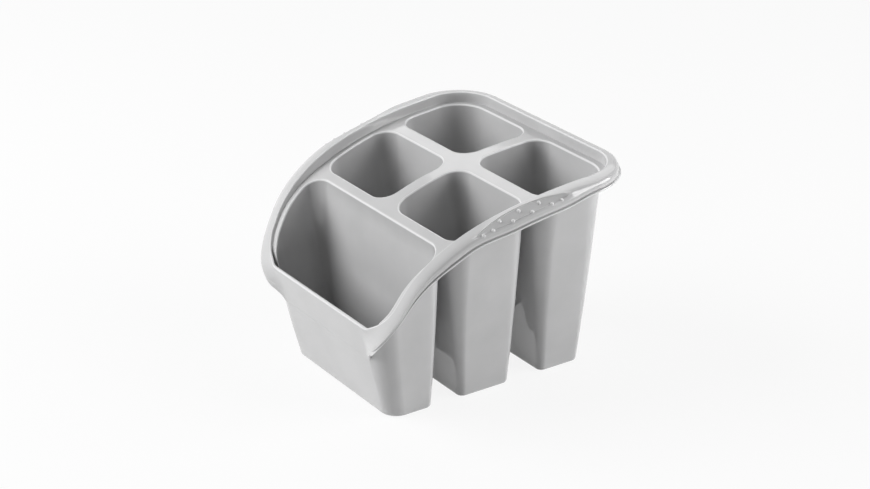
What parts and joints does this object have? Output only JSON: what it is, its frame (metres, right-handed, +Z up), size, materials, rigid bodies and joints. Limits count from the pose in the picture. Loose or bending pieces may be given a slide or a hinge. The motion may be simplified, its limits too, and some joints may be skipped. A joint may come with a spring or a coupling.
{
  "type": "cutlery drainer",
  "caption": "Free-standing cutlery drainer with tapered pockets hanging from a curved tray, a rolled rim, side grips and a low front lip",
  "frame": {"origin": "on the table under the middle of the drainer's outline, in plan", "axes": "+Z up, -Y towards the low front lip, +X to the right as seen from the front"},
  "size_m": [0.1976, 0.1865, 0.149],
  "materials": {
    "body_plastic": "satin gloss moulded plastic",
    "grip_plastic": "finely textured moulded plastic"
  },
  "bodies": {
    "root": {"rim": "body_plastic", "front_pocket": "body_plastic", "middle_left_pocket": "body_plastic", "middle_right_pocket": "body_plastic", "rear_left_pocket": "body_plastic", "rear_right_pocket": "body_plastic", "left_grip": "grip_plastic", "right_grip": "grip_plastic", "left_grip_pips": "grip_plastic", "right_grip_pips": "grip_plastic"}
  },
  "joints": []
}
